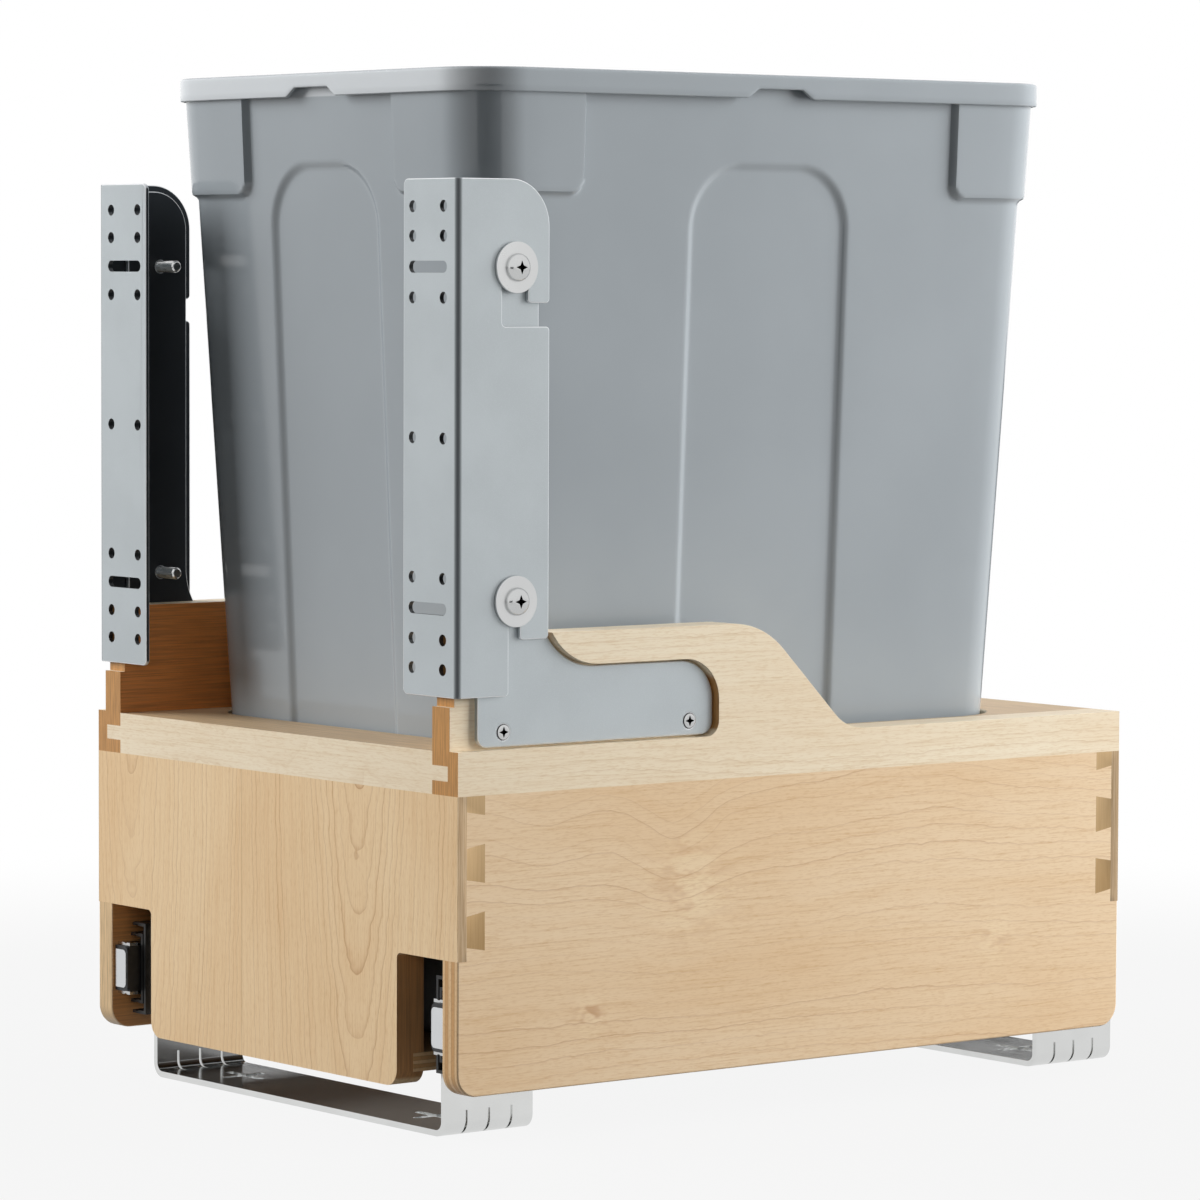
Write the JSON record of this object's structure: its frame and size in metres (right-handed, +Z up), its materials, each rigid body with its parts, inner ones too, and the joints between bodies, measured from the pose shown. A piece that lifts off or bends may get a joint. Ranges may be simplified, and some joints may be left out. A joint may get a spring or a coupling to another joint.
{
  "type": "pull out trash cabinet",
  "caption": "Pull-out waste bin unit: dovetailed wooden tray on two ball-bearing slides, grey lift-out bin in a platform opening, and adjustable door brackets.",
  "frame": {"origin": "middle of the unit on the cabinet floor, halfway between the brackets' front faces and the straps' rear ends", "axes": "+X to the right seen from the front, -Y towards the front, +Z up"},
  "size_m": [0.3096, 0.4378, 0.4962],
  "materials": {
    "maple": "clear satin lacquer over pale maple",
    "maple_ply": "clear satin lacquer over laminated maple",
    "bin_plastic": "semi-gloss moulded grey",
    "silver_paint": "satin silver powder coat",
    "zinc": "bright zinc-plated steel",
    "black_coat": "black electro-coated steel",
    "bright_screw": "bright nickel-plated steel",
    "black_plastic": "satin black moulding",
    "rubber": "black rubber",
    "bright_plate": "smooth silver-white insert"
  },
  "bodies": {
    "base": {"front_strap": "zinc", "rear_strap": "zinc", "slide_cabinet_left": "black_coat", "slide_rivets_left": "zinc", "stop_bumper_left": "rubber", "slide_cabinet_right": "black_coat", "slide_rivets_right": "zinc", "stop_bumper_right": "rubber"},
    "tray": {"front_panel": "maple", "back_panel": "maple", "bottom_board": "maple_ply", "platform": "maple_ply", "slide_drawer_left": "zinc", "drawer_screws_left": "bright_screw", "slide_cap_left": "black_plastic", "slide_cap_plate_left": "bright_plate", "side_panel_left": "maple", "side_rail_left": "maple", "arm_plate_left": "silver_paint", "arm_screws_left": "bright_screw", "bracket_screws_left": "bright_screw", "bracket_washers_left": "bright_screw", "slide_drawer_right": "zinc", "drawer_screws_right": "bright_screw", "slide_cap_right": "black_plastic", "slide_cap_plate_right": "bright_plate", "side_panel_right": "maple", "side_rail_right": "maple", "arm_plate_right": "silver_paint", "arm_screws_right": "bright_screw", "bracket_screws_right": "bright_screw", "bracket_washers_right": "bright_screw"},
    "bin": {"bin": "bin_plastic"},
    "middle_left": {"slide_middle_left": "black_coat"},
    "outer_cage_left": {"cage_outer_left": "zinc", "balls_outer_left": "bright_screw"},
    "inner_cage_left": {"cage_inner_left": "zinc", "balls_inner_left": "bright_screw"},
    "bracket_left": {"door_bracket_left": "silver_paint"},
    "middle_right": {"slide_middle_right": "black_coat"},
    "outer_cage_right": {"cage_outer_right": "zinc", "balls_outer_right": "bright_screw"},
    "inner_cage_right": {"cage_inner_right": "zinc", "balls_inner_right": "bright_screw"},
    "bracket_right": {"door_bracket_right": "silver_paint"}
  },
  "joints": [
    {"name": "tray_slide", "type": "slide", "parent": "base", "child": "tray", "axis": [0, -1, 0], "range_m": [0, 0.4]},
    {"name": "middle_slide_left", "type": "slide", "parent": "base", "child": "middle_left", "axis": [0, -1, 0], "range_m": [0, 0.2]},
    {"name": "outer_cage_slide_left", "type": "slide", "parent": "base", "child": "outer_cage_left", "axis": [0, -1, 0], "range_m": [0, 0.1]},
    {"name": "inner_cage_slide_left", "type": "slide", "parent": "base", "child": "inner_cage_left", "axis": [0, -1, 0], "range_m": [0, 0.3]},
    {"name": "bracket_height_left", "type": "slide", "parent": "tray", "child": "bracket_left", "axis": [0, 0, 1], "range_m": [-0.004, 0.004]},
    {"name": "middle_slide_right", "type": "slide", "parent": "base", "child": "middle_right", "axis": [0, -1, 0], "range_m": [0, 0.2]},
    {"name": "outer_cage_slide_right", "type": "slide", "parent": "base", "child": "outer_cage_right", "axis": [0, -1, 0], "range_m": [0, 0.1]},
    {"name": "inner_cage_slide_right", "type": "slide", "parent": "base", "child": "inner_cage_right", "axis": [0, -1, 0], "range_m": [0, 0.3]},
    {"name": "bracket_height_right", "type": "slide", "parent": "tray", "child": "bracket_right", "axis": [0, 0, 1], "range_m": [-0.004, 0.004]},
    {"name": "bin_lift", "type": "slide", "parent": "tray", "child": "bin", "axis": [0, 0, 1], "range_m": [0, 0.25]}
  ],
  "couplings": [
    {"joint": "middle_slide_left", "follows": "tray_slide", "ratio": 0.5},
    {"joint": "outer_cage_slide_left", "follows": "tray_slide", "ratio": 0.25},
    {"joint": "inner_cage_slide_left", "follows": "tray_slide", "ratio": 0.75},
    {"joint": "middle_slide_right", "follows": "tray_slide", "ratio": 0.5},
    {"joint": "outer_cage_slide_right", "follows": "tray_slide", "ratio": 0.25},
    {"joint": "inner_cage_slide_right", "follows": "tray_slide", "ratio": 0.75}
  ]
}
